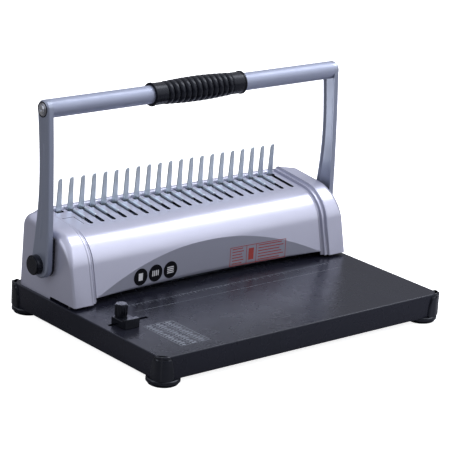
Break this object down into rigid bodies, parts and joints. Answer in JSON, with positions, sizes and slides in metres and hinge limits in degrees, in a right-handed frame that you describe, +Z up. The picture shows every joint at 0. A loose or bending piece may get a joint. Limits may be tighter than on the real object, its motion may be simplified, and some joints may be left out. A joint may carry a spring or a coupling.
{
  "type": "comb binding machine",
  "caption": "Manual comb binding machine: one handle punches a row of slots in paper when pulled and opens the plastic comb when pushed back.",
  "frame": {"origin": "on the desk plane under the centre of the base", "axes": "+X along the machine to the right seen from the front, +Y from the front to the back, +Z up"},
  "size_m": [0.4, 0.264, 0.2425],
  "materials": {
    "silver_plastic": "metallic silver paint",
    "black_sheet": "satin powder coat",
    "black_plastic": "fine moulded texture",
    "foot_rubber": "matt",
    "grip_rubber": "satin",
    "zinc_steel": "zinc plated",
    "frame_steel": "zinc plated",
    "tool_steel": "ground",
    "arm_paint": "silver grey paint",
    "fastener": "plated",
    "bearing_brass": "plain",
    "bright_steel": "polished"
  },
  "bodies": {
    "root": {"base_plate": "black_sheet", "bottom_cover": "black_sheet", "corner_posts": "black_plastic", "rubber_feet": "foot_rubber", "foot_screws": "fastener", "tray_rails": "frame_steel", "end_cap_left": "silver_plastic", "end_cap_right": "silver_plastic", "cap_screws": "fastener", "centre_cover": "silver_plastic", "rear_cover": "black_sheet", "cover_screws": "fastener", "side_frame_left": "frame_steel", "side_frame_right": "frame_steel", "frame_bolts": "fastener", "shaft_bushes": "bearing_brass", "lower_die": "tool_steel", "die_screws": "fastener", "throat_spacer": "frame_steel", "punch_guide": "frame_steel", "guide_bolts": "fastener", "finger_plate": "zinc_steel", "finger_bolts": "fastener", "return_springs": "tool_steel"},
    "drive_train": {"drive_shaft": "bright_steel", "drive_cranks": "tool_steel", "crank_pins": "bright_steel", "drive_dogs": "tool_steel", "pivot_caps": "black_plastic"},
    "handle_assembly": {"arm_left": "arm_paint", "arm_right": "arm_paint", "arm_pads": "black_plastic", "arm_hubs": "frame_steel", "opening_levers": "tool_steel", "lever_pins": "bright_steel", "handle_tube": "arm_paint", "tube_plugs": "black_plastic", "handle_screws": "bright_steel", "grip": "grip_rubber"},
    "punch_ram": {"punches": "tool_steel", "press_bar": "tool_steel", "punch_retainer": "frame_steel"},
    "hook_slide": {"hook_plate": "zinc_steel", "hook_carriage": "tool_steel", "hook_screws": "fastener"},
    "guide_slide": {"edge_guide": "black_plastic", "guide_screw": "fastener", "guide_nut": "fastener"},
    "knob_turn": {"guide_knob": "black_plastic"},
    "tray_slide": {"chip_tray": "black_plastic"}
  },
  "joints": [
    {"name": "handle_pull", "type": "hinge", "parent": "root", "child": "drive_train", "pos_m": [0, 0.0705, 0.068], "axis": [1, 0, 0], "range_deg": [0, 75]},
    {"name": "handle_push_back", "type": "hinge", "parent": "drive_train", "child": "handle_assembly", "pos_m": [0, 0.0705, 0.068], "axis": [1, 0, 0], "range_deg": [-35, 0]},
    {"name": "ram_down", "type": "slide", "parent": "root", "child": "punch_ram", "axis": [0, 0, -1], "range_m": [0, 0.012], "deforming": ["return_springs"]},
    {"name": "hooks_open", "type": "slide", "parent": "root", "child": "hook_slide", "axis": [0, -0.9936, -0.1132], "range_m": [0, 0.0135]},
    {"name": "edge_guide_shift", "type": "slide", "parent": "root", "child": "guide_slide", "axis": [1, 0, 0], "range_m": [-0.0065, 0.0245]},
    {"name": "guide_knob_turn", "type": "hinge", "parent": "guide_slide", "child": "knob_turn", "pos_m": [-0.161, -0.03, 0.045], "axis": [0, 0, 1], "range_deg": [0, 360]},
    {"name": "chip_tray_pull", "type": "slide", "parent": "root", "child": "tray_slide", "axis": [1, 0, 0], "range_m": [0, 0.25]}
  ],
  "couplings": [
    {"joint": "handle_pull", "follows": "ram_down", "rad_per_m": 109},
    {"joint": "handle_push_back", "follows": "hooks_open", "rad_per_m": -45.24}
  ]
}
